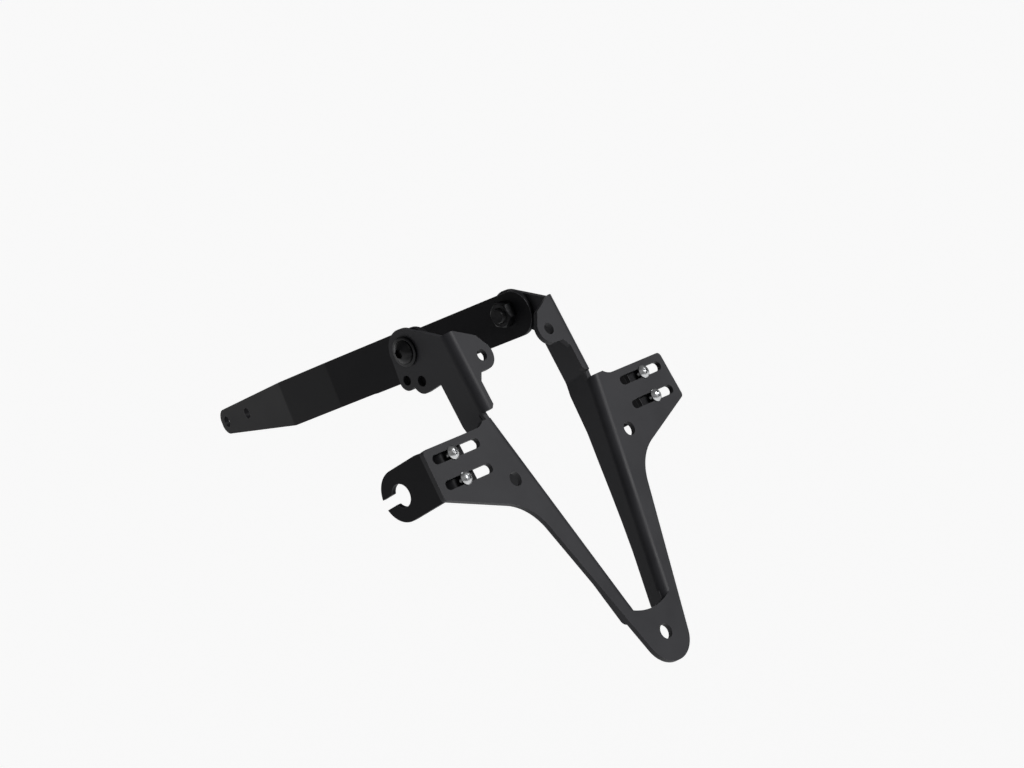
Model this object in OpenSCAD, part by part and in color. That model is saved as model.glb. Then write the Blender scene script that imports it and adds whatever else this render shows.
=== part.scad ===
/* [Stance] */
// lean of the plate face forward from upright, degrees
plate_tilt = 36.7; // [20:0.1:50]
// downward slope of the two mounting brackets going forward, degrees
bracket_drop = 28.5; // [10:0.5:45]

/* [Sheet metal] */
// thickness of the folded frame sheet
sheet = 3; // [2:0.5:4]
// inside radius of every fold in the frame sheet
fold_inner_r = 2; // [1:0.5:3]
// inside radius of the shallow folds
soft_fold_r = 6; // [4:0.5:10]

/* [Plate face] */
// half width across the wings at their lower corners
wing_half_w = 100.5; // [90:0.5:110]
// half width across the wings at their upper corners
wing_top_half_w = 99.3; // [90:0.5:110]
// height of the wing top edge above the lower hole
wing_top_v = 138; // [130:0.5:146]
// height of the wing lower corner above the lower hole
wing_low_v = 110.5; // [104:0.5:114]
// rounding of the wing corners
wing_corner_r = 2.5; // [1:0.5:4]
// slope of the wing lower edge, degrees
wing_low_slope = 20.8; // [15:0.5:25]
// slope of the leg outer edge from upright, degrees
leg_outer_lean = 17.9; // [16:0.1:19]
// radius where leg and wing meet below
crotch_r = 31; // [20:1:40]
// radius where wing and arm meet above
wing_root_r = 10; // [6:1:12]
// radius of the rounded tip round the lower hole
tip_r = 16.5; // [14:0.5:18]
// height of the tip plate edge between the legs
throat_v = 14.4; // [12:0.2:18]
// radius of that edge
throat_r = 37; // [25:1:60]

/* [Plate holes] */
// radius of the lower hole
low_hole_r = 4.25; // [3:0.25:5]
// radius of the two wing holes
wing_hole_r = 4; // [3:0.25:5]
// distance of the wing holes from the middle
wing_hole_u = 48.2; // [46:0.2:52]
// height of the wing holes
wing_hole_v = 105.8; // [104:0.2:110]
// inner end of the slots, distance from the middle
slot_in_u = 59.4; // [58:0.2:64]
// outer end of the slots, distance from the middle
slot_out_u = 95.4; // [90:0.2:96]
// width of the slots
slot_w = 5.3; // [4.6:0.1:6]
// height of the upper slots
slot_up_v = 131.2; // [129:0.1:133]
// height of the lower slots
slot_low_v = 116.6; // [114:0.1:120]

/* [Legs] */
// lean of the folded leg edges from upright, degrees
leg_lean = 13.3; // [12:0.1:14]
// depth of the leg flange at the upper third
flange_mid_d = 17; // [13:0.5:20]
// depth of the leg flange lower down
flange_low_d = 11; // [9:0.5:14]
// length of the shallow lower stretch of the flange
flange_low_run = 45; // [30:1:55]
// distance from the arm fold down to the middle depth
flange_mid_drop = 30; // [25:1:40]
// distance from the arm fold down to where the full depth ends
flange_top_drop = 8; // [5:1:12]
// corner cut off the flange at its foot
flange_foot_cut = 5; // [2:0.5:8]
// gap between the folds of leg and arm
relief = 4; // [3.5:0.1:5]

/* [Arms] */
// half distance over the outer faces of the two arms
arm_out = 44.8; // [42:0.2:48]
// height where the arm turns into the leg
arm_foot_v = 144.5; // [143:0.5:147]
// distance of the arm front edge forward of the plate face
arm_front_d = 20.5; // [18:0.5:21]
// pivot bolt, distance forward of the plate face
pivot_f = 32.4; // [30:0.2:35]
// pivot bolt, height above the lower hole
pivot_v = 194.1; // [192:0.2:196]
// radius of the arm round the pivot bolt
arm_end_r = 12.3; // [11:0.1:14]
// height of the arm top edge at its fold
arm_top_v = 190.4; // [188:0.1:191]
// radius of the concave arm edge below the pivot
arm_waist_r = 10.5; // [8:0.5:10.5]

/* [Rear tabs] */
// tab hole, distance from the middle
tab_hole_u = 27.85; // [26:0.05:30]
// tab hole, height
tab_hole_v = 172.8; // [171:0.1:175]
// tab hole radius
tab_hole_r = 3.3; // [2.5:0.1:4]
// radius of the tab round its hole
tab_r = 8.2; // [7:0.1:9]
// inner edge of the narrow part of the tab
tab_neck_u = 37.2; // [36.5:0.1:38]
// height where the narrow part of the tab ends
tab_neck_v = 160; // [156:0.5:161]
// inner edge of the tab where its lower slope starts
tab_bay_u = 34; // [32:0.2:35]
// top corner of the tab, inward of its hole
tab_peak_in = 2.2; // [1:0.1:4]
// top corner of the tab, above its round end
tab_peak_rise = 2.8; // [1:0.1:4]
// corner cut off at the tab foot
tab_foot_cut = 2; // [1:0.5:3]

/* [Setting holes on the left arm] */
// first setting hole, distance forward
set_a_f = 41.6; // [41:0.2:43]
// first setting hole, height
set_a_v = 180.6; // [179:0.2:182]
// first setting hole radius
set_a_r = 2.75; // [2:0.25:3.5]
// radius of the lobe round the first setting hole
set_a_lobe_r = 5.7; // [5:0.1:7]
// second setting hole, distance forward
set_b_f = 31.8; // [31:0.2:33]
// second setting hole, height
set_b_v = 176; // [175:0.2:178]
// second setting hole radius
set_b_r = 3; // [2:0.25:3.5]
// radius of the lobe round the second setting hole
set_b_lobe_r = 7; // [6:0.1:8]

/* [Mounting brackets] */
// height of the bracket plate
strap_h = 26; // [22:1:30]
// how far the bracket middle lies below the pivot
strap_sink = 2; // [0:0.5:4]
// how far the round rear end is set back from the pivot
strap_back = 4; // [0:0.5:6]
// pivot to the first fold
strap_c_len = 65; // [50:1:80]
// length of the middle part
strap_b_len = 48; // [30:1:60]
// length of the front part
strap_a_len = 90; // [70:1:100]
// turn inward at each of the two folds, degrees
strap_turn = 8; // [5:0.5:15]
// height of the front end
strap_tip_h = 15; // [13:0.5:20]
// rise of the front end middle line
strap_tip_rise = 4; // [0:0.5:8]
// radius of the two fixing holes in the front part
fix_hole_r = 3.3; // [2.5:0.1:4.5]
// distance between the two fixing holes
fix_hole_gap = 30; // [20:1:40]

/* [Indicator brackets] */
// half distance over the outer faces of the ears
ear_out = 90; // [89:0.5:91]
// height of the ear middle
ear_mid_v = 125; // [124.5:0.1:125.5]
// height of the ear
ear_h = 28.8; // [28:0.2:30]
// distance of the ear hole forward of the plate face
ear_hole_f = 38.3; // [36:0.2:42]
// radius of the ear hole
ear_hole_r = 6.4; // [5:0.1:7]
// width of the slot that opens the ear hole
ear_slot_w = 5.6; // [4.5:0.1:6]
// width of the flange behind the wing
ear_flange_w = 20; // [19:0.5:21]
// distance of the small screws from the middle
screw_u = 80; // [79.5:0.1:80.5]

/* [Small screws] */
// thread diameter
screw_d = 4; // [3.8:0.1:4]
// hole in the indicator bracket
screw_hole_d = 4.4; // [4.2:0.1:4.6]
// head diameter
head_d = 7.6; // [7:0.1:8]
// head height
head_h = 2.6; // [2:0.1:3]
// washer diameter
washer_d = 9; // [8:0.1:10]
// washer thickness
washer_t = 0.8; // [0.6:0.1:1.2]
// nut width across flats
nut_af = 7; // [6.8:0.1:7.5]
// nut height
nut_h = 3.2; // [2.8:0.1:3.4]
// thread standing past the nut
screw_spare = 1.5; // [1:0.5:3]
// depth of the cross recess
recess_h = 1.6; // [1:0.1:1.8]
// width over the whole cross
recess_w = 4.2; // [3.6:0.2:4.6]
// width of one slot of the cross
recess_t = 0.9; // [0.7:0.1:1.1]

/* [Pivot bolts] */
// thread diameter
pivot_d = 8; // [7.8:0.1:8]
// hole through arm and bracket
pivot_hole_d = 8.5; // [8.4:0.1:9]
// dome head diameter
dome_d = 13; // [12:0.5:14]
// dome head height
dome_h = 4.4; // [4:0.1:5]
// washer diameter
pivot_washer_d = 16.4; // [15:0.2:17]
// washer thickness
pivot_washer_t = 1.6; // [1:0.1:2]
// nut width across flats
pivot_nut_af = 13; // [12:0.5:14]
// nut height
pivot_nut_h = 6.5; // [5:0.1:7]
// thread standing past the nut
pivot_spare = 2; // [1:0.5:4]
// width of the hex socket across flats
socket_af = 5; // [4:0.5:6]
// depth of the hex socket
socket_h = 2.6; // [2:0.1:3]

/* [Hidden] */
$fn = 96;
fold_r = fold_inner_r + sheet;
arm_in = arm_out - sheet;
soft_out_r = soft_fold_r + sheet;
// how far a cut runs past the sheet that it goes through
cut = 1;
// thread clearance in the nuts
thread_slack = 0.1;
// flat strip on both sides of a fold, where the pieces of sheet join
land = 1;
// straight steps in a rounded corner of the plate outline, and in the shallow fold
arc_steps = 12;
soft_steps = 3;
// longer than any leg or arm
reach = 2 * pivot_v;
web_f = fold_r + land;
soft_u = arm_in - soft_fold_r;
waist_r = min(arm_waist_r, pivot_f - arm_front_d - cut);
// the leg outer edge is a tangent to the rounded tip
leg_outer_u = tip_r / cos(leg_outer_lean);
// straight edge between the throat and the foot of the leg fold
foot_gap = 1.2;
throat_meet_u = land_mid(throat_edge(land_mid(throat_v)));
leg_foot_v = throat_edge(throat_meet_u) + foot_gap;
// front hole of a mounting bracket, along its front part and along the whole bracket
fix_f = strap_a_len - strap_tip_h / 2;
strap_tip_f = strap_c_len + soft_out_r * sin(2 * strap_turn)
    + strap_b_len * cos(strap_turn) + fix_f * cos(2 * strap_turn);

function way(angle) = [cos(angle), sin(angle)];
function throat_edge(u) = throat_v + throat_r - sqrt(pow(throat_r, 2) - pow(u, 2));
// half width at the middle of a leg's flat strip for a given height
function land_mid(v) = soft_u + (soft_fold_r + fold_r + land / 2) / cos(leg_lean) - (arm_foot_v - v) * tan(leg_lean);
// the leg edge meets the wing lower edge here
meet_v = (wing_low_v - (wing_half_w - leg_outer_u) * tan(wing_low_slope))
    / (1 - tan(leg_outer_lean) * tan(wing_low_slope));
meet_u = leg_outer_u + meet_v * tan(leg_outer_lean);

function arc(middle, r, from, to) =
    [for (i = [0:arc_steps]) middle + r * way(from + (to - from) * i / arc_steps)];
// rounded corner of an outline that turns from one heading to another
function rounded(corner, from, to, r) =
    let (side = sign(from - to) * 90, start = corner - r * tan(abs(from - to) / 2) * way(from))
    arc(start + r * way(from - side), r, from + side, to + side);

// right half of the plate outline, from the throat round the wing to the tip
side_lean = atan((wing_half_w - wing_top_half_w) / (wing_top_v - wing_low_v));
side_way = side_lean - 90;
low_way = wing_low_slope - 180;
leg_way = -90 - leg_outer_lean;
leg_top_v = arm_foot_v - relief / 2;
root_mid = [land_mid(wing_top_v) + wing_root_r + cut, wing_top_v + wing_root_r];
half_outline = concat(
    arc([0, throat_v + throat_r], throat_r, -90, asin(throat_meet_u / throat_r) - 90),
    [[land_mid(leg_foot_v + land), leg_foot_v + land], [land_mid(leg_top_v), leg_top_v]],
    arc(root_mid, wing_root_r, 180 + asin((root_mid[1] - leg_top_v) / wing_root_r), 270),
    rounded([wing_top_half_w, wing_top_v], 0, side_way, wing_corner_r),
    rounded([wing_half_w, wing_low_v], side_way, low_way, wing_corner_r),
    rounded([meet_u, meet_v], low_way, leg_way, crotch_r),
    arc([0, 0], tip_r, leg_way + 90, -90)
);

module tilted() {
    rotate([-plate_tilt, 0, 0]) children();
}

// flat shape drawn in the plate face, sheet pushed forward
module in_face(depth) {
    translate([0, depth, 0]) rotate([90, 0, 0]) linear_extrude(depth) children();
}

// flat shape drawn from the side, pushed outward
module in_side(width) {
    rotate([90, 0, 90]) linear_extrude(width) children();
}

module plate_outline() {
    last = len(half_outline) - 2;
    polygon(concat(half_outline, [for (i = [last:-1:1]) [-half_outline[i][0], half_outline[i][1]]]));
}

module slot_shape(v) {
    end_in = slot_in_u + slot_w / 2;
    end_out = slot_out_u - slot_w / 2;
    translate([end_in, v]) circle(slot_w / 2);
    translate([end_out, v]) circle(slot_w / 2);
    translate([end_in, v - slot_w / 2]) square([end_out - end_in, slot_w]);
}

module both_sides() {
    children();
    mirror([1, 0, 0]) children();
}

module face_sheet() {
    in_face(sheet) difference() {
        plate_outline();
        both_sides() {
            slot_shape(slot_up_v);
            slot_shape(slot_low_v);
        }
    }
}

// quarter bend with its outer corner at the origin, drawn in plan
module bend_section() {
    translate([fold_r, 0]) square([land, sheet]);
    translate([0, fold_r]) square([sheet, land]);
    translate([fold_r, fold_r]) difference() {
        circle(fold_r);
        circle(fold_inner_r);
        translate([0, -fold_r - cut]) square([fold_r + cut, 2 * (fold_r + cut)]);
        translate([-fold_r - cut, 0]) square([fold_r + 2 * cut, fold_r + cut]);
    }
}

// room on the inner side of arm and leg, its corner turned in small steps about the fold axis
module fold_room(r, past) {
    translate([soft_u, fold_r - past, arm_foot_v])
        intersection_for (i = [0:soft_steps])
            rotate([0, leg_lean * i / soft_steps, 0]) translate([-reach - past, 0, -reach - past])
                cube([reach + past + r, reach + 2 * past, 2 * (reach + past)]);
}

// bend between leg and plate face, its height axis along the leg
module leg_fold() {
    translate([soft_u, 0, arm_foot_v]) rotate([0, leg_lean, 0])
        translate([soft_fold_r, 0, -reach]) linear_extrude(reach) bend_section();
}

// direction of the arm top edge, drawn as a tangent to the round end
top_reach = norm([pivot_f - fold_r, pivot_v - arm_top_v]);
top_slope = atan((pivot_v - arm_top_v) / (pivot_f - fold_r)) + asin(arm_end_r / top_reach);

// arm and leg flange seen from the side
module side_shape() {
    waist_v = pivot_v - arm_end_r;
    translate([pivot_f, pivot_v]) circle(arm_end_r);
    polygon([
        [-cut, leg_foot_v],
        [flange_low_d - flange_foot_cut, leg_foot_v],
        [flange_low_d, leg_foot_v + flange_foot_cut],
        [flange_low_d, leg_foot_v + flange_low_run],
        [flange_mid_d, arm_foot_v - flange_mid_drop],
        [arm_front_d, arm_foot_v - flange_top_drop],
        [arm_front_d, waist_v],
        [pivot_f, waist_v],
        [pivot_f, pivot_v],
        [pivot_f - arm_end_r * sin(top_slope), pivot_v + arm_end_r * cos(top_slope)],
        [fold_r, arm_top_v],
        [-cut, arm_top_v]
    ]);
    difference() {
        translate([arm_front_d - cut, waist_v - waist_r]) square([waist_r + cut, waist_r + cut]);
        translate([arm_front_d + waist_r, waist_v - waist_r]) circle(waist_r);
    }
}

module arm_and_leg() {
    intersection() {
        union() {
            difference() {
                fold_room(soft_out_r, 0);
                fold_room(soft_fold_r, cut);
            }
            leg_fold();
        }
        in_side(reach) side_shape();
    }
}

// the lobes that carry the setting holes, left arm only
module setting_lobes() {
    difference() {
        union() {
            translate([set_a_f, set_a_v]) circle(set_a_lobe_r);
            translate([set_b_f, set_b_v]) circle(set_b_lobe_r);
            polygon([
                [arm_front_d - cut, pivot_v],
                [arm_front_d - cut, set_b_v - set_b_lobe_r],
                [set_b_f, set_b_v - set_b_lobe_r],
                [set_a_f, set_a_v],
                [set_a_f + set_a_lobe_r, set_a_v],
                [pivot_f + arm_end_r, pivot_v]
            ]);
        }
        translate([set_a_f, set_a_v]) circle(set_a_r);
        translate([set_b_f, set_b_v]) circle(set_b_r);
    }
}

module tab_shape() {
    translate([tab_hole_u, tab_hole_v]) circle(tab_r);
    polygon([
        [tab_hole_u, tab_hole_v] + tab_r * way(135),
        [tab_hole_u - tab_peak_in, tab_hole_v + tab_r + tab_peak_rise],
        [arm_out - fold_r, arm_top_v],
        [arm_out + cut, arm_top_v],
        [arm_out + cut, arm_foot_v - cut],
        [tab_neck_u + tab_foot_cut + cut, arm_foot_v - cut],
        [tab_neck_u, arm_foot_v + tab_foot_cut],
        [tab_neck_u, tab_neck_v],
        [tab_bay_u, tab_hole_v - tab_r],
        [tab_hole_u, tab_hole_v - tab_r]
    ]);
}

// rear tab with its fold into the arm
module rear_tab() {
    tab_in = tab_hole_u - tab_r - cut;
    intersection() {
        translate([0, 0, arm_foot_v - 2 * cut]) linear_extrude(arm_top_v - arm_foot_v + 3 * cut) {
            translate([arm_out, 0]) mirror([1, 0]) bend_section();
            translate([tab_in, 0]) square([arm_out - fold_r - land / 2 - tab_in, sheet]);
        }
        translate([0, -cut, 0]) in_face(web_f + 2 * cut) tab_shape();
    }
}

// hole bored square to the plate face
module face_bore(u, v, r) {
    translate([u, -cut, v]) rotate([-90, 0, 0]) cylinder(h = sheet + 2 * cut, r = r);
}

// hole bored across the arms
module side_bore(f, v, r, u, length) {
    translate([u, f, v]) rotate([0, 90, 0]) cylinder(h = length, r = r);
}

module plate_frame() {
    color("dimgray") tilted() difference() {
        union() {
            face_sheet();
            both_sides() {
                arm_and_leg();
                rear_tab();
            }
            mirror([1, 0, 0]) translate([arm_in, 0, 0]) in_side(sheet) setting_lobes();
        }
        face_bore(0, 0, low_hole_r);
        both_sides() {
            face_bore(wing_hole_u, wing_hole_v, wing_hole_r);
            face_bore(tab_hole_u, tab_hole_v, tab_hole_r);
            side_bore(pivot_f, pivot_v, pivot_hole_d / 2, arm_in - cut, sheet + 2 * cut);
            // open slot between the fold of the leg and the fold of the tab
            translate([0, -cut, arm_foot_v - relief]) cube([root_mid[0], web_f + cut, relief]);
        }
    }
}

// wedge of a fold ring seen in plan, its centre at the origin
module fold_wedge() {
    far = 2 * soft_out_r;
    intersection() {
        difference() {
            circle(soft_out_r);
            circle(soft_fold_r);
        }
        polygon([[0, 0], [far, 0], [far * cos(strap_turn), far * sin(strap_turn)]]);
    }
}

// moves a drawing past one plate of the bracket and round its fold
module past_fold(length) {
    translate([-soft_out_r, length]) rotate(strap_turn) translate([soft_out_r, 0]) children();
}

module bracket_plan() {
    translate([-sheet, -strap_h]) square([sheet, strap_h + strap_c_len]);
    translate([-soft_out_r, strap_c_len]) fold_wedge();
    past_fold(strap_c_len) {
        translate([-sheet, 0]) square([sheet, strap_b_len]);
        translate([-soft_out_r, strap_b_len]) fold_wedge();
        past_fold(strap_b_len) translate([-sheet, 0]) square([sheet, strap_a_len]);
    }
}

module bracket_side() {
    half = strap_h / 2;
    tip_half = strap_tip_h / 2;
    fold_f = strap_c_len + strap_b_len;
    translate([-strap_back, -strap_sink]) circle(half);
    translate([-strap_back, -strap_sink - half]) square([fold_f + strap_back, strap_h]);
    polygon([
        [fold_f, -strap_sink - half],
        [strap_tip_f, strap_tip_rise - strap_sink - tip_half],
        [strap_tip_f, strap_tip_rise - strap_sink + tip_half],
        [fold_f, half - strap_sink]
    ]);
    translate([strap_tip_f, strap_tip_rise - strap_sink]) circle(tip_half);
}

// mounting bracket drawn with the pivot at the origin and its length forward
module mount_bracket() {
    difference() {
        intersection() {
            translate([0, 0, -strap_h]) linear_extrude(2 * strap_h) bracket_plan();
            translate([-strap_a_len, 0, 0]) in_side(strap_a_len + cut) bracket_side();
        }
        side_bore(0, 0, pivot_hole_d / 2, -sheet - cut, sheet + 2 * cut);
        past_fold_solid(strap_c_len) past_fold_solid(strap_b_len)
            for (f = [fix_f, fix_f - fix_hole_gap])
                side_bore(f, strap_tip_rise - strap_sink, fix_hole_r, -sheet - cut, sheet + 2 * cut);
    }
}

module past_fold_solid(length) {
    translate([-soft_out_r, length, 0]) rotate([0, 0, strap_turn]) translate([soft_out_r, 0, 0]) children();
}

module placed_mount_bracket() {
    color("black") tilted() translate([arm_in, pivot_f, pivot_v])
        rotate([plate_tilt - bracket_drop, 0, 0]) mount_bracket();
}

module left_mount_bracket() {
    mirror([1, 0, 0]) placed_mount_bracket();
}

module right_mount_bracket() {
    placed_mount_bracket();
}

module ear_shape() {
    half = ear_h / 2;
    difference() {
        union() {
            translate([sheet + fold_r, ear_mid_v - half]) square([ear_hole_f - sheet - fold_r, ear_h]);
            translate([ear_hole_f, ear_mid_v]) circle(half);
        }
        translate([ear_hole_f, ear_mid_v - ear_slot_w / 2]) square([half + cut, ear_slot_w]);
    }
}

module indicator_bracket() {
    half = ear_h / 2;
    flange_in = ear_out - ear_flange_w;
    color("black") tilted() difference() {
        union() {
            translate([ear_out - sheet, 0, 0]) in_side(sheet) ear_shape();
            translate([0, sheet, ear_mid_v - half]) linear_extrude(ear_h) {
                translate([ear_out, 0]) mirror([1, 0]) bend_section();
                translate([flange_in, 0]) square([ear_flange_w - fold_r, sheet]);
            }
        }
        side_bore(ear_hole_f, ear_mid_v, ear_hole_r, ear_out - sheet - cut, sheet + 2 * cut);
        for (v = [slot_up_v, slot_low_v])
            translate([0, sheet, 0]) face_bore(screw_u, v, screw_hole_d / 2);
    }
}

module left_indicator_bracket() {
    mirror([1, 0, 0]) indicator_bracket();
}

module right_indicator_bracket() {
    indicator_bracket();
}

// round head on the far side of the origin, drawn down the axis
module dome_head(d, h) {
    ball_r = (pow(d / 2, 2) + pow(h, 2)) / (2 * h);
    translate([0, 0, -h]) rotate_extrude() intersection() {
        square([d / 2, h]);
        translate([0, ball_r]) circle(ball_r);
    }
}

module screw_solid() {
    difference() {
        union() {
            cylinder(h = 2 * sheet + washer_t + nut_h + screw_spare, d = screw_d);
            dome_head(head_d, head_h);
        }
        for (turn = [0, 90])
            rotate([0, 0, turn]) translate([-recess_w / 2, -recess_t / 2, -head_h - cut])
                cube([recess_w, recess_t, recess_h + cut]);
    }
}

module on_screw_axis(v) {
    tilted() translate([screw_u, 0, v]) rotate([-90, 0, 0]) children();
}

module small_screw(v) {
    color("silver") on_screw_axis(v) screw_solid();
}

module small_washer(v) {
    color("silver") on_screw_axis(v) translate([0, 0, 2 * sheet]) difference() {
        cylinder(h = washer_t, d = washer_d);
        translate([0, 0, -cut]) cylinder(h = washer_t + 2 * cut, d = screw_hole_d);
    }
}

module small_nut(v) {
    color("silver") on_screw_axis(v) translate([0, 0, 2 * sheet + washer_t])
        hex_nut(nut_af, nut_h, screw_d + thread_slack);
}

module hex_nut(across, height, bore) {
    difference() {
        cylinder(h = height, d = across / cos(30), $fn = 6);
        translate([0, 0, -cut]) cylinder(h = height + 2 * cut, d = bore);
    }
}

module left_upper_screw() {
    mirror([1, 0, 0]) small_screw(slot_up_v);
}

module left_lower_screw() {
    mirror([1, 0, 0]) small_screw(slot_low_v);
}

module right_upper_screw() {
    small_screw(slot_up_v);
}

module right_lower_screw() {
    small_screw(slot_low_v);
}

module left_upper_washer() {
    mirror([1, 0, 0]) small_washer(slot_up_v);
}

module left_lower_washer() {
    mirror([1, 0, 0]) small_washer(slot_low_v);
}

module right_upper_washer() {
    small_washer(slot_up_v);
}

module right_lower_washer() {
    small_washer(slot_low_v);
}

module left_upper_nut() {
    mirror([1, 0, 0]) small_nut(slot_up_v);
}

module left_lower_nut() {
    mirror([1, 0, 0]) small_nut(slot_low_v);
}

module right_upper_nut() {
    small_nut(slot_up_v);
}

module right_lower_nut() {
    small_nut(slot_low_v);
}

// pivot hardware along the axis from outside to inside
module on_pivot_axis() {
    tilted() translate([arm_out, pivot_f, pivot_v]) rotate([0, -90, 0]) children();
}

module pivot_bolt() {
    length = pivot_washer_t + 2 * sheet + pivot_nut_h + pivot_spare;
    color("black") on_pivot_axis() translate([0, 0, -pivot_washer_t]) difference() {
        union() {
            cylinder(h = length, d = pivot_d);
            dome_head(dome_d, dome_h);
        }
        translate([0, 0, -dome_h - cut]) cylinder(h = socket_h + cut, d = socket_af / cos(30), $fn = 6);
    }
}

module pivot_washer() {
    color("black") on_pivot_axis() translate([0, 0, -pivot_washer_t]) difference() {
        cylinder(h = pivot_washer_t, d = pivot_washer_d);
        translate([0, 0, -cut]) cylinder(h = pivot_washer_t + 2 * cut, d = pivot_hole_d);
    }
}

module pivot_nut() {
    color("black") on_pivot_axis() translate([0, 0, 2 * sheet])
        hex_nut(pivot_nut_af, pivot_nut_h, pivot_d + thread_slack);
}

module left_pivot_bolt() {
    mirror([1, 0, 0]) pivot_bolt();
}

module right_pivot_bolt() {
    pivot_bolt();
}

module left_pivot_washer() {
    mirror([1, 0, 0]) pivot_washer();
}

module right_pivot_washer() {
    pivot_washer();
}

module left_pivot_nut() {
    mirror([1, 0, 0]) pivot_nut();
}

module right_pivot_nut() {
    pivot_nut();
}

plate_frame();
left_mount_bracket();
right_mount_bracket();
left_indicator_bracket();
right_indicator_bracket();
left_upper_screw();
left_lower_screw();
right_upper_screw();
right_lower_screw();
left_upper_washer();
left_lower_washer();
right_upper_washer();
right_lower_washer();
left_upper_nut();
left_lower_nut();
right_upper_nut();
right_lower_nut();
left_pivot_bolt();
right_pivot_bolt();
left_pivot_washer();
right_pivot_washer();
left_pivot_nut();
right_pivot_nut();
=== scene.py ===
import math
import bmesh
import bpy
from mathutils import Matrix, Vector


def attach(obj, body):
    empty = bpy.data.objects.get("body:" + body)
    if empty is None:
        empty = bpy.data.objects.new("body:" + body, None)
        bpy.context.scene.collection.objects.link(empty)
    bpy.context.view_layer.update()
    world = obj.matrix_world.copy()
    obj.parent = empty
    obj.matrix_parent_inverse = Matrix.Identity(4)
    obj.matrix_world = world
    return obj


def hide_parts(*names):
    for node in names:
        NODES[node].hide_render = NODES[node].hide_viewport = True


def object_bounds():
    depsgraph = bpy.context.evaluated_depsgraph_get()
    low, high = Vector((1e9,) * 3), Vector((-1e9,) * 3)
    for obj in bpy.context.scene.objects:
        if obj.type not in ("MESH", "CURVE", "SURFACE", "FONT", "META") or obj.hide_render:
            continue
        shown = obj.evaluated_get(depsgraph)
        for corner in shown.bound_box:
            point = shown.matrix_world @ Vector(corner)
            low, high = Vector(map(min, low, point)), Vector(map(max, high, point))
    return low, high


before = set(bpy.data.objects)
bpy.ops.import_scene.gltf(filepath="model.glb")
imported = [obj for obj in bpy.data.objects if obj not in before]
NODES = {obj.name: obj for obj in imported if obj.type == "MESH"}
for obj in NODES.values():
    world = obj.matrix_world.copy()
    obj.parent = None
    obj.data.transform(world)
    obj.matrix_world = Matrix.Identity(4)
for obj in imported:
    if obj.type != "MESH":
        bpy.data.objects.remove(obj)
CAD_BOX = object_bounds()
scene = bpy.context.scene
MM = 0.001

# the plate leans forward; in its own face u runs across, f forward into the sheet and v up, all in mm
PLATE_TILT = math.radians(36.7)
TILT = Matrix.Rotation(-PLATE_TILT, 4, "X")
SHEET = 3.0
ARM_IN = 41.8
ARM_FOOT_V = 144.5
SOFT_FOLD_R = 6.0
LEG_LEAN = math.radians(13.3)
WING_TOP_V = 138.0
PIVOT_F = 32.4
PIVOT_V = 194.1

# small M4 screws, with the turn at which each one stopped
SCREW_U = 80.0
SCREW_V = {"upper": 131.2, "lower": 116.6}
SCREW_TURN = {"left_upper": 18, "left_lower": 52, "right_upper": 33, "right_lower": 74}
HEAD_H = 2.6
WASHER_T = 0.8
NUT_H = 3.2

# M8 pivot bolts
PIVOT_HEAD_H = 4.4
PIVOT_WASHER_T = 1.6
PIVOT_NUT_H = 6.5
SOCKET_ACROSS = 5
SOCKET_DEPTH = 2.6


# materials

def srgb(code):
    """Linear colour from an sRGB hex value."""
    parts = [int(code[i:i + 2], 16) / 255 for i in (1, 3, 5)]
    line = [c / 12.92 if c <= 0.04045 else ((c + 0.055) / 1.055) ** 2.4 for c in parts]
    return (*line, 1.0)


def add(tree, kind, settings=None, links=None, stops=None):
    """Adds a node, sets its properties, sockets and colour stops, and links sockets to other outputs."""
    node = tree.nodes.new(kind)
    for name, value in (settings or {}).items():
        if isinstance(name, int) or name in node.inputs:
            node.inputs[name].default_value = value
        else:
            setattr(node, name, value)
    for name, source in (links or {}).items():
        tree.links.new(source, node.inputs[name])
    if stops:
        for element, (position, colour) in zip(node.color_ramp.elements, stops):
            element.position = position
            element.color = colour
    return node


def finish(name, shader_values):
    """A new material with its shader's constants set, and the object's own coordinates."""
    mat = bpy.data.materials.new(name)
    mat.use_nodes = True
    tree = mat.node_tree
    shader = tree.nodes["Principled BSDF"]
    for socket, value in shader_values.items():
        shader.inputs[socket].default_value = value
    place = add(tree, "ShaderNodeTexCoord").outputs["Object"]
    return mat, tree, shader, place


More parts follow.
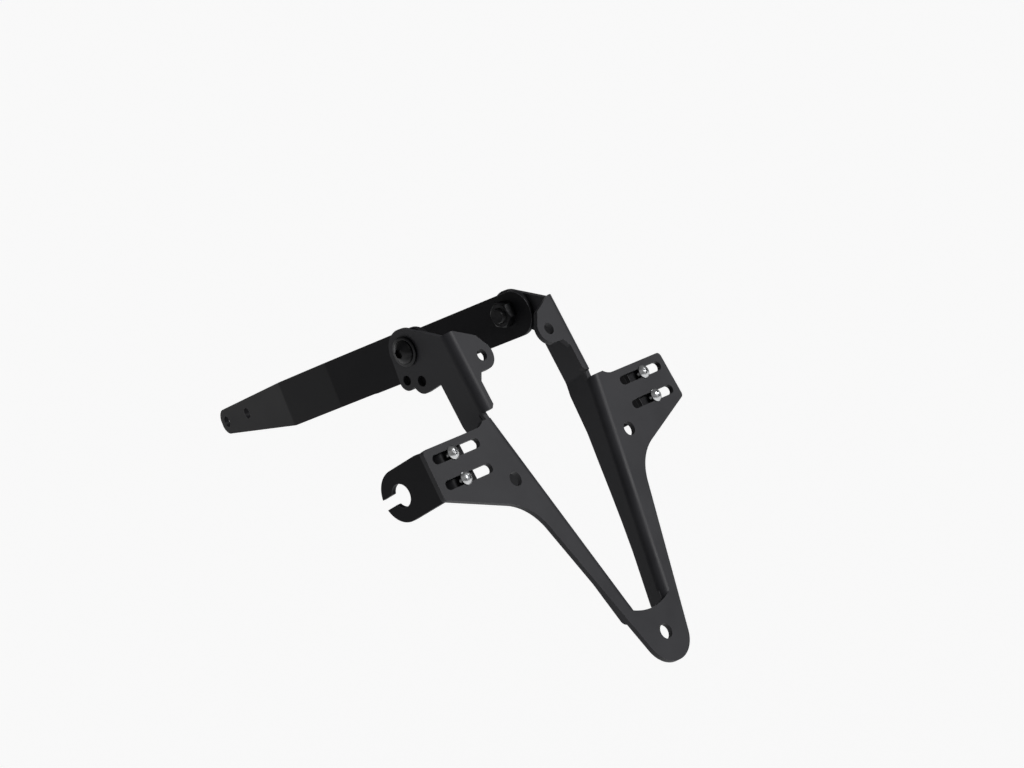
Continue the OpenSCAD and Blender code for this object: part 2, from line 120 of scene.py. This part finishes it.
def powder_coat(name, dark, light, peel_mm, rough, sheen):
    """Satin black polyester powder, sprayed and baked on steel sheet.

    The eye sees a soft sheen that breaks up in a fine orange peel, and a few specks where a grain of
    powder stayed proud. peel_mm is the spacing of the peel.
    """
    film_mm = 30
    grain_gap_mm = 3.2
    mat, tree, shader, place = finish(name, {"Metallic": 0.0, "IOR": 1.5, "Specular IOR Level": sheen})
    peel = add(tree, "ShaderNodeTexNoise", {"Scale": 1000 / peel_mm, "Detail": 2.0, "Roughness": 0.5},
               {"Vector": place})
    # slow changes in film thickness
    cloud = add(tree, "ShaderNodeTexNoise", {"Scale": 1000 / film_mm, "Detail": 3.0, "Roughness": 0.6},
                {"Vector": place})
    # grains of powder, about 0.5 mm wide
    grains = add(tree, "ShaderNodeTexVoronoi", {"Scale": 1000 / grain_gap_mm, "Randomness": 1.0},
                 {"Vector": place})
    speck = add(tree, "ShaderNodeValToRGB", links={"Fac": grains.outputs["Distance"]},
                stops=((0.03, (1.0, 1.0, 1.0, 1.0)), (0.09, (0.0, 0.0, 0.0, 1.0))))
    colour = add(tree, "ShaderNodeValToRGB", links={"Fac": cloud.outputs["Fac"]},
                 stops=((0.35, srgb(dark)), (0.7, srgb(light))))
    dull = add(tree, "ShaderNodeMapRange",
               {"From Min": 0.3, "From Max": 0.7, "To Min": rough[0], "To Max": rough[1]},
               {"Value": cloud.outputs["Fac"]})
    # the peel stands about 0.01 mm, the grains about 0.02 mm
    low = add(tree, "ShaderNodeBump", {"Strength": 0.35, "Distance": 0.012 * MM},
              {"Height": peel.outputs["Fac"]})
    high = add(tree, "ShaderNodeBump", {"Strength": 0.5, "Distance": 0.02 * MM},
               {"Height": speck.outputs["Color"], "Normal": low.outputs["Normal"]})
    tree.links.new(colour.outputs["Color"], shader.inputs["Base Color"])
    tree.links.new(dull.outputs["Result"], shader.inputs["Roughness"])
    tree.links.new(high.outputs["Normal"], shader.inputs["Normal"])
    return mat


def zinc_plate(name, dark, light, rough, metallic=1.0):
    """Zinc plate on rolled and cold-headed steel.

    The eye sees a slightly milky metal with fine die marks, and patches where the passivation dried
    thicker.
    """
    patch_mm = 2.0
    die_mark_mm = 0.25
    mat, tree, shader, place = finish(name, {"Metallic": metallic})
    patch = add(tree, "ShaderNodeTexNoise", {"Scale": 1000 / patch_mm, "Detail": 4.0, "Roughness": 0.6},
                {"Vector": place})
    marks = add(tree, "ShaderNodeTexNoise", {"Scale": 1000 / die_mark_mm, "Detail": 2.0}, {"Vector": place})
    colour = add(tree, "ShaderNodeValToRGB", links={"Fac": patch.outputs["Fac"]},
                 stops=((0.3, srgb(dark)), (0.7, srgb(light))))
    dull = add(tree, "ShaderNodeMapRange",
               {"From Min": 0.3, "From Max": 0.7, "To Min": rough[0], "To Max": rough[1]},
               {"Value": patch.outputs["Fac"]})
    bump = add(tree, "ShaderNodeBump", {"Strength": 0.25, "Distance": 0.01 * MM},
               {"Height": marks.outputs["Fac"]})
    tree.links.new(colour.outputs["Color"], shader.inputs["Base Color"])
    tree.links.new(dull.outputs["Result"], shader.inputs["Roughness"])
    tree.links.new(bump.outputs["Normal"], shader.inputs["Normal"])
    return mat


# powder on the folded frame: an even, soft grey sheen
frame_coat = powder_coat("satin_black_powder_coat", "#29292c", "#303033", 0.9, (0.40, 0.50), 0.16)
# the same black powder with a finer peel, darker and with hardly any sheen: the darker colour and weak sheen
# are painted shade on the brackets
shaded_bracket_coat = powder_coat("shaded_fine_black_powder_coat", "#1a1a1c", "#202022", 0.7, (0.42, 0.50), 0.06)
# on cut edges the powder pulls thin as it flows, so they are smoother; their lighter colour and stronger
# sheen are partly that thin powder and partly a painted highlight
thin_edge_and_highlight_coat = powder_coat("thin_edge_powder_and_highlight_coat", "#38383b", "#434346", 0.9, (0.34, 0.42), 0.20)
# clear passivated plate on the small hardware: pale and bright
bright_zinc = zinc_plate("bright_zinc_plate", "#c6c7c8", "#dedfe0", (0.22, 0.34))
# black passivated plate on the pivot hardware: dark, with a weak gleam
black_zinc = zinc_plate("black_zinc_plate", "#131315", "#1e1e20", (0.30, 0.42), metallic=0.6)


# meshes

def skin(bm, rings, closed=False):
    """Joins neighbouring rings with faces."""
    steps = len(rings[0])
    following = rings[1:] + rings[:1] if closed else rings[1:]
    for low, high in zip(rings, following):
        for i in range(steps):
            j = (i + 1) % steps
            corners = []
            for v in (low[i], low[j], high[j], high[i]):
                if v not in corners:
                    corners.append(v)
            if len(corners) > 2:
                bm.faces.new(corners)


def capped(bm, rings):
    """Adds a closed body through rings of points in mm."""
    made = [[bm.verts.new([c * MM for c in point]) for point in ring] for ring in rings]
    skin(bm, made)
    bm.faces.new(made[0])
    bm.faces.new(made[-1])


def mesh_object(name, bm, sharp_deg=35):
    """An object from a bmesh, smooth except at its sharp edges."""
    bmesh.ops.recalc_face_normals(bm, faces=bm.faces)
    for face in bm.faces:
        face.smooth = True
    for edge in bm.edges:
        if len(edge.link_faces) == 2 and edge.calc_face_angle(0) > math.radians(sharp_deg):
            edge.smooth = False
    data = bpy.data.meshes.new(name)
    bm.to_mesh(data)
    bm.free()
    obj = bpy.data.objects.new(name, data)
    scene.collection.objects.link(obj)
    return obj


def block(name, rings, matrix):
    """A closed body through rings of points in mm, moved by the matrix."""
    bm = bmesh.new()
    capped(bm, rings)
    bmesh.ops.transform(bm, matrix=matrix, verts=bm.verts)
    return mesh_object(name, bm)


def turned(name, profile, steps, closed=False, sharp_deg=35):
    """A profile of (radius, height) points in mm, turned about the Z axis."""
    bm = bmesh.new()
    rings = []
    for r, z in profile:
        if r == 0:
            rings.append([bm.verts.new((0, 0, z * MM))] * steps)
        else:
            rings.append([bm.verts.new((r * math.cos(a) * MM, r * math.sin(a) * MM, z * MM))
                          for a in (2 * math.pi * i / steps for i in range(steps))])
    skin(bm, rings, closed)
    return mesh_object(name, bm, sharp_deg)


def arc_points(f, v, r, start, end, steps=8):
    """Points of a round corner, angles in degrees."""
    turns = [math.radians(start + (end - start) * k / steps) for k in range(steps + 1)]
    return [(f + r * math.cos(a), v + r * math.sin(a)) for a in turns]


# folded sheets

def leg_u(v):
    """Distance from the middle to the inner face of a leg's flange, at height v."""
    turn_u = ARM_IN - SOFT_FOLD_R * (1 - math.cos(LEG_LEAN))
    turn_v = ARM_FOOT_V - SOFT_FOLD_R * math.sin(LEG_LEAN)
    return turn_u - max(0.0, turn_v - v) * math.tan(LEG_LEAN)


def side_plate(outline, inner_face, thick, side):
    """A piece of sheet drawn from the side, in (f, v); its inner face follows inner_face(v)."""
    rings = [[(side * (inner_face(v) + out), f, v) for f, v in outline] for out in (0.0, thick)]
    return block("side_plate", rings, TILT)


def soften_edges(obj, coat):
    """The cut edges of a coated sheet are a little round: weld, join flat faces, then round the edges."""
    obj.data.materials.clear()
    obj.data.materials.append(coat)
    obj.data.materials.append(thin_edge_and_highlight_coat)
    weld = obj.modifiers.new("weld", "WELD")
    weld.merge_threshold = 0.004 * MM
    flat = obj.modifiers.new("join_flats", "DECIMATE")
    flat.decimate_type = "DISSOLVE"
    flat.angle_limit = math.radians(0.5)
    rounding = obj.modifiers.new("round_edges", "BEVEL")
    rounding.width = 0.35 * MM
    rounding.segments = 3
    rounding.limit_method = "ANGLE"
    rounding.angle_limit = math.radians(40)
    # the rounding takes the second material, the lighter edge coat with its painted highlight
    rounding.material = 1
    smooth = obj.modifiers.new("smooth", "WEIGHTED_NORMAL")
    smooth.keep_sharp = True
    smooth.weight = 80


def sheet_copy(node, operation, tools, coat):
    """The folded sheet with pieces added or cut away, standing for its node."""
    obj = bpy.data.objects.new(node + "_sheet", NODES[node].data.copy())
    scene.collection.objects.link(obj)
    for tool in tools:
        step = obj.modifiers.new("trim", "BOOLEAN")
        step.operation = operation
        step.solver = "EXACT"
        step.object = tool
    bpy.context.view_layer.update()
    made = bpy.data.meshes.new_from_object(obj.evaluated_get(bpy.context.evaluated_depsgraph_get()))
    obj.modifiers.clear()
    obj.data = made
    for face in made.polygons:
        face.material_index = 0
    for tool in tools:
        bpy.data.objects.remove(tool)
    soften_edges(obj, coat)
    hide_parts(node)
    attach(obj, "root")


def leg_flange(side):
    """Full depth of a leg's flange, with its round foot behind the tip plate."""
    foot_v = 12.2
    depth = 12.5
    corner = 3.2
    outline = [(3.2, 20.5), (3.2, foot_v + 1.0), (4.2, foot_v)]
    outline += arc_points(depth - corner, foot_v + corner, corner, -90, 0)
    outline += [(depth, 45.0), (13.2, 62.0), (14.4, 80.0), (15.8, 98.0), (16.9, 114.0)]
    outline += [(6.0, 114.0), (6.0, 20.5)]
    return side_plate(outline, leg_u, SHEET / math.cos(LEG_LEAN), side)


def fold_foot(side):
    """The bend between leg and plate face, carried on down to the edge between the legs."""
    outer = 5.0
    inner = 2.0
    land = 6.2
    low_v = 16.1
    high_v = 21.0
    outline = arc_points(outer, outer, outer, 180, 270) + [(land, 0.0), (land, SHEET)]
    outline += arc_points(outer, outer, inner, 270, 180) + [(SHEET, land), (0.0, land)]
    rings = [[(side * (leg_u(v) + out), f, v) for out, f in outline] for v in (low_v, high_v)]
    return block("fold_foot", rings, TILT)


def fold_bridge(side):
    """The short stretch of sheet beside the relief slot, where arm and leg run into each other."""
    low, high = ARM_FOOT_V - 4.6, ARM_FOOT_V + 0.6
    back, front = 3.4, 6.5
    return side_plate([(back, low), (front, low), (front, high), (back, high)], leg_u, SHEET, side)


def setting_backing():
    """The bracket's own lobes behind the two setting holes of the left arm."""
    outline = arc_points(31.8, 176.0, 6.6, 200, 300) + arc_points(41.6, 180.6, 5.4, 270, 380)
    outline += [(PIVOT_F + 6, PIVOT_V - 4), (PIVOT_F - 6, PIVOT_V - 4)]
    return side_plate(outline, lambda v: ARM_IN - SHEET, SHEET, -1)


def flange_top(side):
    """What is cut off an indicator bracket above the wing's top edge; the ear's edge runs up from there."""
    inner_u, width = 60, 45
    low, high = WING_TOP_V - 0.5, WING_TOP_V + 6
    outline = [(-1.0, low), (5.0, low), (18.0, WING_TOP_V + 1.6), (18.0, high), (-1.0, high)]
    return side_plate(outline, lambda v: inner_u, width, side)


frame_pieces = [make(side) for make in (leg_flange, fold_foot, fold_bridge) for side in (-1, 1)]
sheet_copy("plate_frame", "UNION", frame_pieces, frame_coat)
sheet_copy("left_mount_bracket", "UNION", [setting_backing()], shaded_bracket_coat)
soften_edges(NODES["right_mount_bracket"], shaded_bracket_coat)
sheet_copy("left_indicator_bracket", "DIFFERENCE", [flange_top(-1)], shaded_bracket_coat)
sheet_copy("right_indicator_bracket", "DIFFERENCE", [flange_top(1)], shaded_bracket_coat)


# fasteners, each made in mm along Z, with its head at the negative end

def carved(body, tools):
    """The body with the tools cut away, as a bmesh to build on."""
    for tool in tools:
        cut = body.modifiers.new("cut", "BOOLEAN")
        cut.operation = "DIFFERENCE"
        cut.solver = "EXACT"
        cut.object = tool
    bpy.context.view_layer.update()
    seen = body.evaluated_get(bpy.context.evaluated_depsgraph_get())
    bm = bmesh.new()
    bm.from_mesh(seen.to_mesh())
    seen.to_mesh_clear()
    for old in (body, *tools):
        bpy.data.objects.remove(old)
    bmesh.ops.remove_doubles(bm, verts=bm.verts, dist=1e-7)
    return bm


def thread_rings(pitch, outer, start, end, steps):
    """Rings of a rolled thread; its crest and root follow the helix, and its end is chamfered."""
    depth = 0.6 * pitch
    run_in, run_out = 0.6 * pitch, 0.8 * pitch
    # above 1 the flanks reach the outer radius early, which leaves a flat crest
    crest = 1.15
    chamfer_long, chamfer_deep = 0.5, 0.35
    rings_per_turn = 8
    rows = int((end - start) / pitch * rings_per_turn) + 1
    rings = []
    for k in range(rows + 1):
        z = start + (end - start) * k / rows
        fade = min(1.0, max(0.0, (z - start) / run_in), max(0.0, (end - z) / run_out))
        point = (1 - min(1, (end - z) / chamfer_long)) * chamfer_deep
        ring = []
        for i in range(steps):
            turn = i / steps
            wave = abs(((z / pitch - turn) % 1.0) * 2 - 1)
            r = outer - depth * (1 - min(1.0, wave * crest)) * fade - point
            ring.append((r * math.cos(2 * math.pi * turn), r * math.sin(2 * math.pi * turn), z))
        rings.append(ring)
    return rings


def threaded_shank(bm, pitch, outer, thread_from, end):
    """Adds a shank that starts plain inside the head and carries a thread to its point."""
    steps = 36
    plain_from = -0.2
    around = [2 * math.pi * i / steps for i in range(steps)]
    plain = [[(outer * math.cos(a), outer * math.sin(a), z) for a in around]
             for z in (plain_from, thread_from)]
    capped(bm, plain + thread_rings(pitch, outer, thread_from + 0.05, end, steps))


def dome_profile(radius, height, rim, rounding=0.35, steps=14):
    """Half outline of a round head from its middle to its underside, top at minus its height."""
    rise = height - rim
    ball = (radius ** 2 + rise ** 2) / (2 * rise)
    points = []
    for k in range(steps + 1):
        r = radius * k / steps
        points.append((r, -height + ball - math.sqrt(ball ** 2 - r ** 2)))
    points += [(radius, -rounding), (radius - 0.3 * rounding, -0.3 * rounding)]
    points += [(radius - rounding, 0.0), (0.0, 0.0)]
    return points


def put(obj, matrix, node, material):
    """Places a fastener on its axis, gives it its finish and lets it stand for its node."""
    obj.data.materials.append(material)
    obj.data.transform(matrix)
    obj.data.update()
    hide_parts(node)
    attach(obj, "root")


def screw_axis(side, v):
    """Axis of a small screw: origin on the rear of the wing, Z forward into the sheet."""
    spot = Matrix.Translation((side * SCREW_U * MM, 0, v * MM))
    return TILT @ spot @ Matrix.Rotation(math.radians(-90), 4, "X")


def pivot_axis(side):
    """Axis of a pivot bolt: origin on the outer face of the arm, Z toward the middle."""
    spot = Matrix.Translation((side * (ARM_IN + SHEET) * MM, PIVOT_F * MM, PIVOT_V * MM))
    return TILT @ spot @ Matrix.Rotation(math.radians(-90 * side), 4, "Y")


def rectangle(half_x, half_y, z):
    """Corners of a rectangle at height z."""
    return [(-half_x, -half_y, z), (half_x, -half_y, z), (half_x, half_y, z), (-half_x, half_y, z)]


def cross_cutters(width, slot, depth, top):
    """Two tapered bars and a middle well that make the cross recess."""
    above = 0.3
    well_r, well_foot_r = 1.0, 0.55
    foot = rectangle(width * 0.28, slot * 0.36, top + depth)
    mouth = rectangle(width / 2, slot / 2, top - above)
    tools = [block("cross_bar", [foot, mouth], Matrix.Rotation(math.radians(turn), 4, "Z"))
             for turn in (0, 90)]
    # the well goes just deeper than the bars
    well_foot = top + depth * 1.02
    well = [(0, top - above), (well_r, top - above), (well_foot_r, well_foot), (0, well_foot)]
    return tools + [turned("cross_well", well, 24)]


def small_screw(name, matrix):
    """Cold-headed M4 pan screw with a cross recess."""
    head = turned("head", dome_profile(radius=3.8, height=HEAD_H, rim=0.55), 72)
    bm = carved(head, cross_cutters(width=4.6, slot=1.15, depth=1.7, top=-HEAD_H))
    threaded_shank(bm, pitch=0.7, outer=1.98, thread_from=0.6, end=2 * SHEET + WASHER_T + NUT_H + 1.5)
    put(mesh_object(name, bm), matrix, name, bright_zinc)


def washer(name, matrix, base, inner, outer, thick, material):
    """Stamped washer with its edges broken."""
    e = min(0.18, thick / 4)
    top = base + thick
    profile = [(inner, base + e), (inner + e, base), (outer - e, base), (outer, base + e),
               (outer, top - e), (outer - e, top), (inner + e, top), (inner, top - e)]
    put(turned(name, profile, 72, closed=True, sharp_deg=50), matrix, name, material)


def hex_nut(name, matrix, base, across, height, bore, material):
    """Hexagon nut with both ends chamfered at 30 degrees, so each flat ends in a curve."""
    steps = 96
    rim = across / 2 * 0.985
    lead_in = 0.35
    slope = math.tan(math.radians(30))
    bm = bmesh.new()

    def ring(radius_of, z_of):
        """One ring: its radius comes from the hexagon's at that turn, and its height from that radius."""
        made = []
        for i in range(steps):
            a = 2 * math.pi * i / steps
            off_flat = (math.degrees(a) % 60) - 30
            r = radius_of(across / 2 / math.cos(math.radians(off_flat)))
            made.append(bm.verts.new((r * math.cos(a) * MM, r * math.sin(a) * MM, z_of(r) * MM)))
        return made

    # from the bore at the lower end, out over the rim and the corners, and back in at the upper end
    lower = [ring(lambda h: bore, lambda r: base + lead_in),
             ring(lambda h: bore + lead_in, lambda r: base),
             ring(lambda h: rim, lambda r: base),
             ring(lambda h: (rim + h) / 2, lambda r: base + (r - rim) * slope),
             ring(lambda h: h, lambda r: base + (r - rim) * slope)]
    upper = [ring(lambda h: h, lambda r: base + height - (r - rim) * slope),
             ring(lambda h: (rim + h) / 2, lambda r: base + height - (r - rim) * slope),
             ring(lambda h: rim, lambda r: base + height),
             ring(lambda h: bore + lead_in, lambda r: base + height),
             ring(lambda h: bore, lambda r: base + height - lead_in)]
    skin(bm, lower + upper, closed=True)
    put(mesh_object(name, bm, sharp_deg=22), matrix, name, material)


def pivot_bolt(name, matrix):
    """Round-head M8 socket bolt that clamps the arm to the mounting bracket."""
    head = turned("head", dome_profile(radius=6.5, height=PIVOT_HEAD_H, rim=0.7, rounding=0.5, steps=18), 96)
    above = -PIVOT_HEAD_H - 0.5
    corner_r = SOCKET_ACROSS / 2 / math.cos(math.radians(30))
    turns = [math.radians(60 * i) for i in range(6)]
    rings = [[(corner_r * math.cos(a), corner_r * math.sin(a), z) for a in turns]
             for z in (above, -PIVOT_HEAD_H + SOCKET_DEPTH)]
    socket = block("socket", rings, Matrix.Identity(4))
    lead_in = turned("lead_in", [(0, above), (3.4, above), (2.75, -4.05), (0, -4.05)], 48)
    bm = carved(head, [socket, lead_in])
    end = PIVOT_WASHER_T + 2 * SHEET + PIVOT_NUT_H + 2
    threaded_shank(bm, pitch=1.25, outer=3.98, thread_from=5.0, end=end)
    on_washer = Matrix.Translation((0, 0, -PIVOT_WASHER_T * MM))
    put(mesh_object(name, bm), matrix @ on_washer, name, black_zinc)


for side, hand in ((-1, "left"), (1, "right")):
    for level, v in SCREW_V.items():
        axis = screw_axis(side, v)
        stem = hand + "_" + level
        twist = Matrix.Rotation(math.radians(SCREW_TURN[stem]), 4, "Z")
        small_screw(stem + "_screw", axis @ twist)
        washer(stem + "_washer", axis, base=2 * SHEET, inner=2.2, outer=4.5, thick=WASHER_T,
               material=bright_zinc)
        hex_nut(stem + "_nut", axis, base=2 * SHEET + WASHER_T, across=7, height=NUT_H, bore=2.05,
                material=bright_zinc)
    axis = pivot_axis(side)
    pivot_bolt(hand + "_pivot_bolt", axis)
    washer(hand + "_pivot_washer", axis, base=-PIVOT_WASHER_T, inner=4.25, outer=8.2, thick=PIVOT_WASHER_T,
           material=black_zinc)
    hex_nut(hand + "_pivot_nut", axis, base=2 * SHEET, across=13, height=PIVOT_NUT_H, bore=4.05,
            material=black_zinc)


# floor, light and camera

# light that the floor adds to itself where a camera, glossy or transmission ray meets it
FLOOR_LIFT = 0.37
# half its width, and how far it lies below the part, in metres
FLOOR_HALF = 30
FLOOR_DROP = 0.35
# strength of the room's light on the part
AMBIENT = 0.12
WHITE = (1, 1, 1, 1)


def pale_floor():
    """Wide pale floor below the part. It shows white and keeps the shadow."""
    bm = bmesh.new()
    bmesh.ops.create_grid(bm, x_segments=1, y_segments=1, size=FLOOR_HALF)
    obj = mesh_object("floor", bm)
    obj.location = (0, 0, CAD_BOX[0][2] - FLOOR_DROP)
    mat = bpy.data.materials.new("pale_paper")
    mat.use_nodes = True
    tree = mat.node_tree
    tree.nodes.clear()
    ray = add(tree, "ShaderNodeLightPath").outputs
    seen = add(tree, "ShaderNodeMath", {"operation": "MAXIMUM"},
               {0: ray["Is Camera Ray"], 1: ray["Is Glossy Ray"]})
    shown = add(tree, "ShaderNodeMath", {"operation": "MAXIMUM"},
                {0: seen.outputs[0], 1: ray["Is Transmission Ray"]})
    lift = add(tree, "ShaderNodeMath", {"operation": "MULTIPLY", 1: FLOOR_LIFT}, {0: shown.outputs[0]})
    paper = add(tree, "ShaderNodeBsdfDiffuse", {"Color": srgb("#e6e6e6")})
    glow = add(tree, "ShaderNodeEmission", {"Color": WHITE}, {"Strength": lift.outputs[0]})
    both = add(tree, "ShaderNodeAddShader", links={0: paper.outputs[0], 1: glow.outputs[0]})
    add(tree, "ShaderNodeOutputMaterial", links={"Surface": both.outputs[0]})
    obj.data.materials.append(mat)


def studio_room():
    """White room that the camera sees, with a weak even light on the part."""
    world = bpy.data.worlds.new("studio")
    scene.world = world
    world.use_nodes = True
    tree = world.node_tree
    tree.nodes.clear()
    ray = add(tree, "ShaderNodeLightPath").outputs
    seen = add(tree, "ShaderNodeMath", {"operation": "MAXIMUM"},
               {0: ray["Is Camera Ray"], 1: ray["Is Transmission Ray"]})
    level = add(tree, "ShaderNodeMapRange", {"To Min": AMBIENT, "To Max": 1.0}, {"Value": seen.outputs[0]})
    room = add(tree, "ShaderNodeBackground", {"Color": WHITE}, {"Strength": level.outputs["Result"]})
    add(tree, "ShaderNodeOutputWorld", links={"Surface": room.outputs[0]})


def sun(name, toward, strength, spread_deg):
    """Soft even light that comes from the given direction."""
    data = bpy.data.lights.new(name, "SUN")
    data.energy = strength
    data.angle = math.radians(spread_deg)
    obj = bpy.data.objects.new(name, data)
    obj.rotation_euler = Vector(toward).to_track_quat("Z", "Y").to_euler()
    scene.collection.objects.link(obj)


def set_camera(place, azimuth_deg, elevation_deg, lens_mm):
    """Camera at a place in metres that looks along the photograph's viewing angle."""
    camera = bpy.data.objects.new("camera", bpy.data.cameras.new("camera"))
    camera.data.lens = lens_mm
    camera.data.sensor_width = 36
    camera.data.clip_start = 0.05
    camera.data.clip_end = 100
    azimuth, elevation = math.radians(azimuth_deg), math.radians(elevation_deg)
    back = Vector((math.sin(azimuth) * math.cos(elevation), -math.cos(azimuth) * math.cos(elevation),
                   math.sin(elevation)))
    right = Vector((math.cos(azimuth), math.sin(azimuth), 0))
    up = back.cross(right)
    turn = Matrix((right, up, back)).transposed().to_4x4()
    camera.matrix_world = Matrix.Translation(place) @ turn
    scene.collection.objects.link(camera)
    scene.camera = camera


pale_floor()
studio_room()
sun("key", (0.42, -0.62, 0.75), 2.6, 28)
sun("fill", (-0.75, -0.35, 0.55), 0.12, 60)
set_camera((-1.0825, -0.7996, 0.6259), -50.083, 19.943, 98.44)

scene.view_settings.view_transform = "Standard"

bpy.context.view_layer.update()
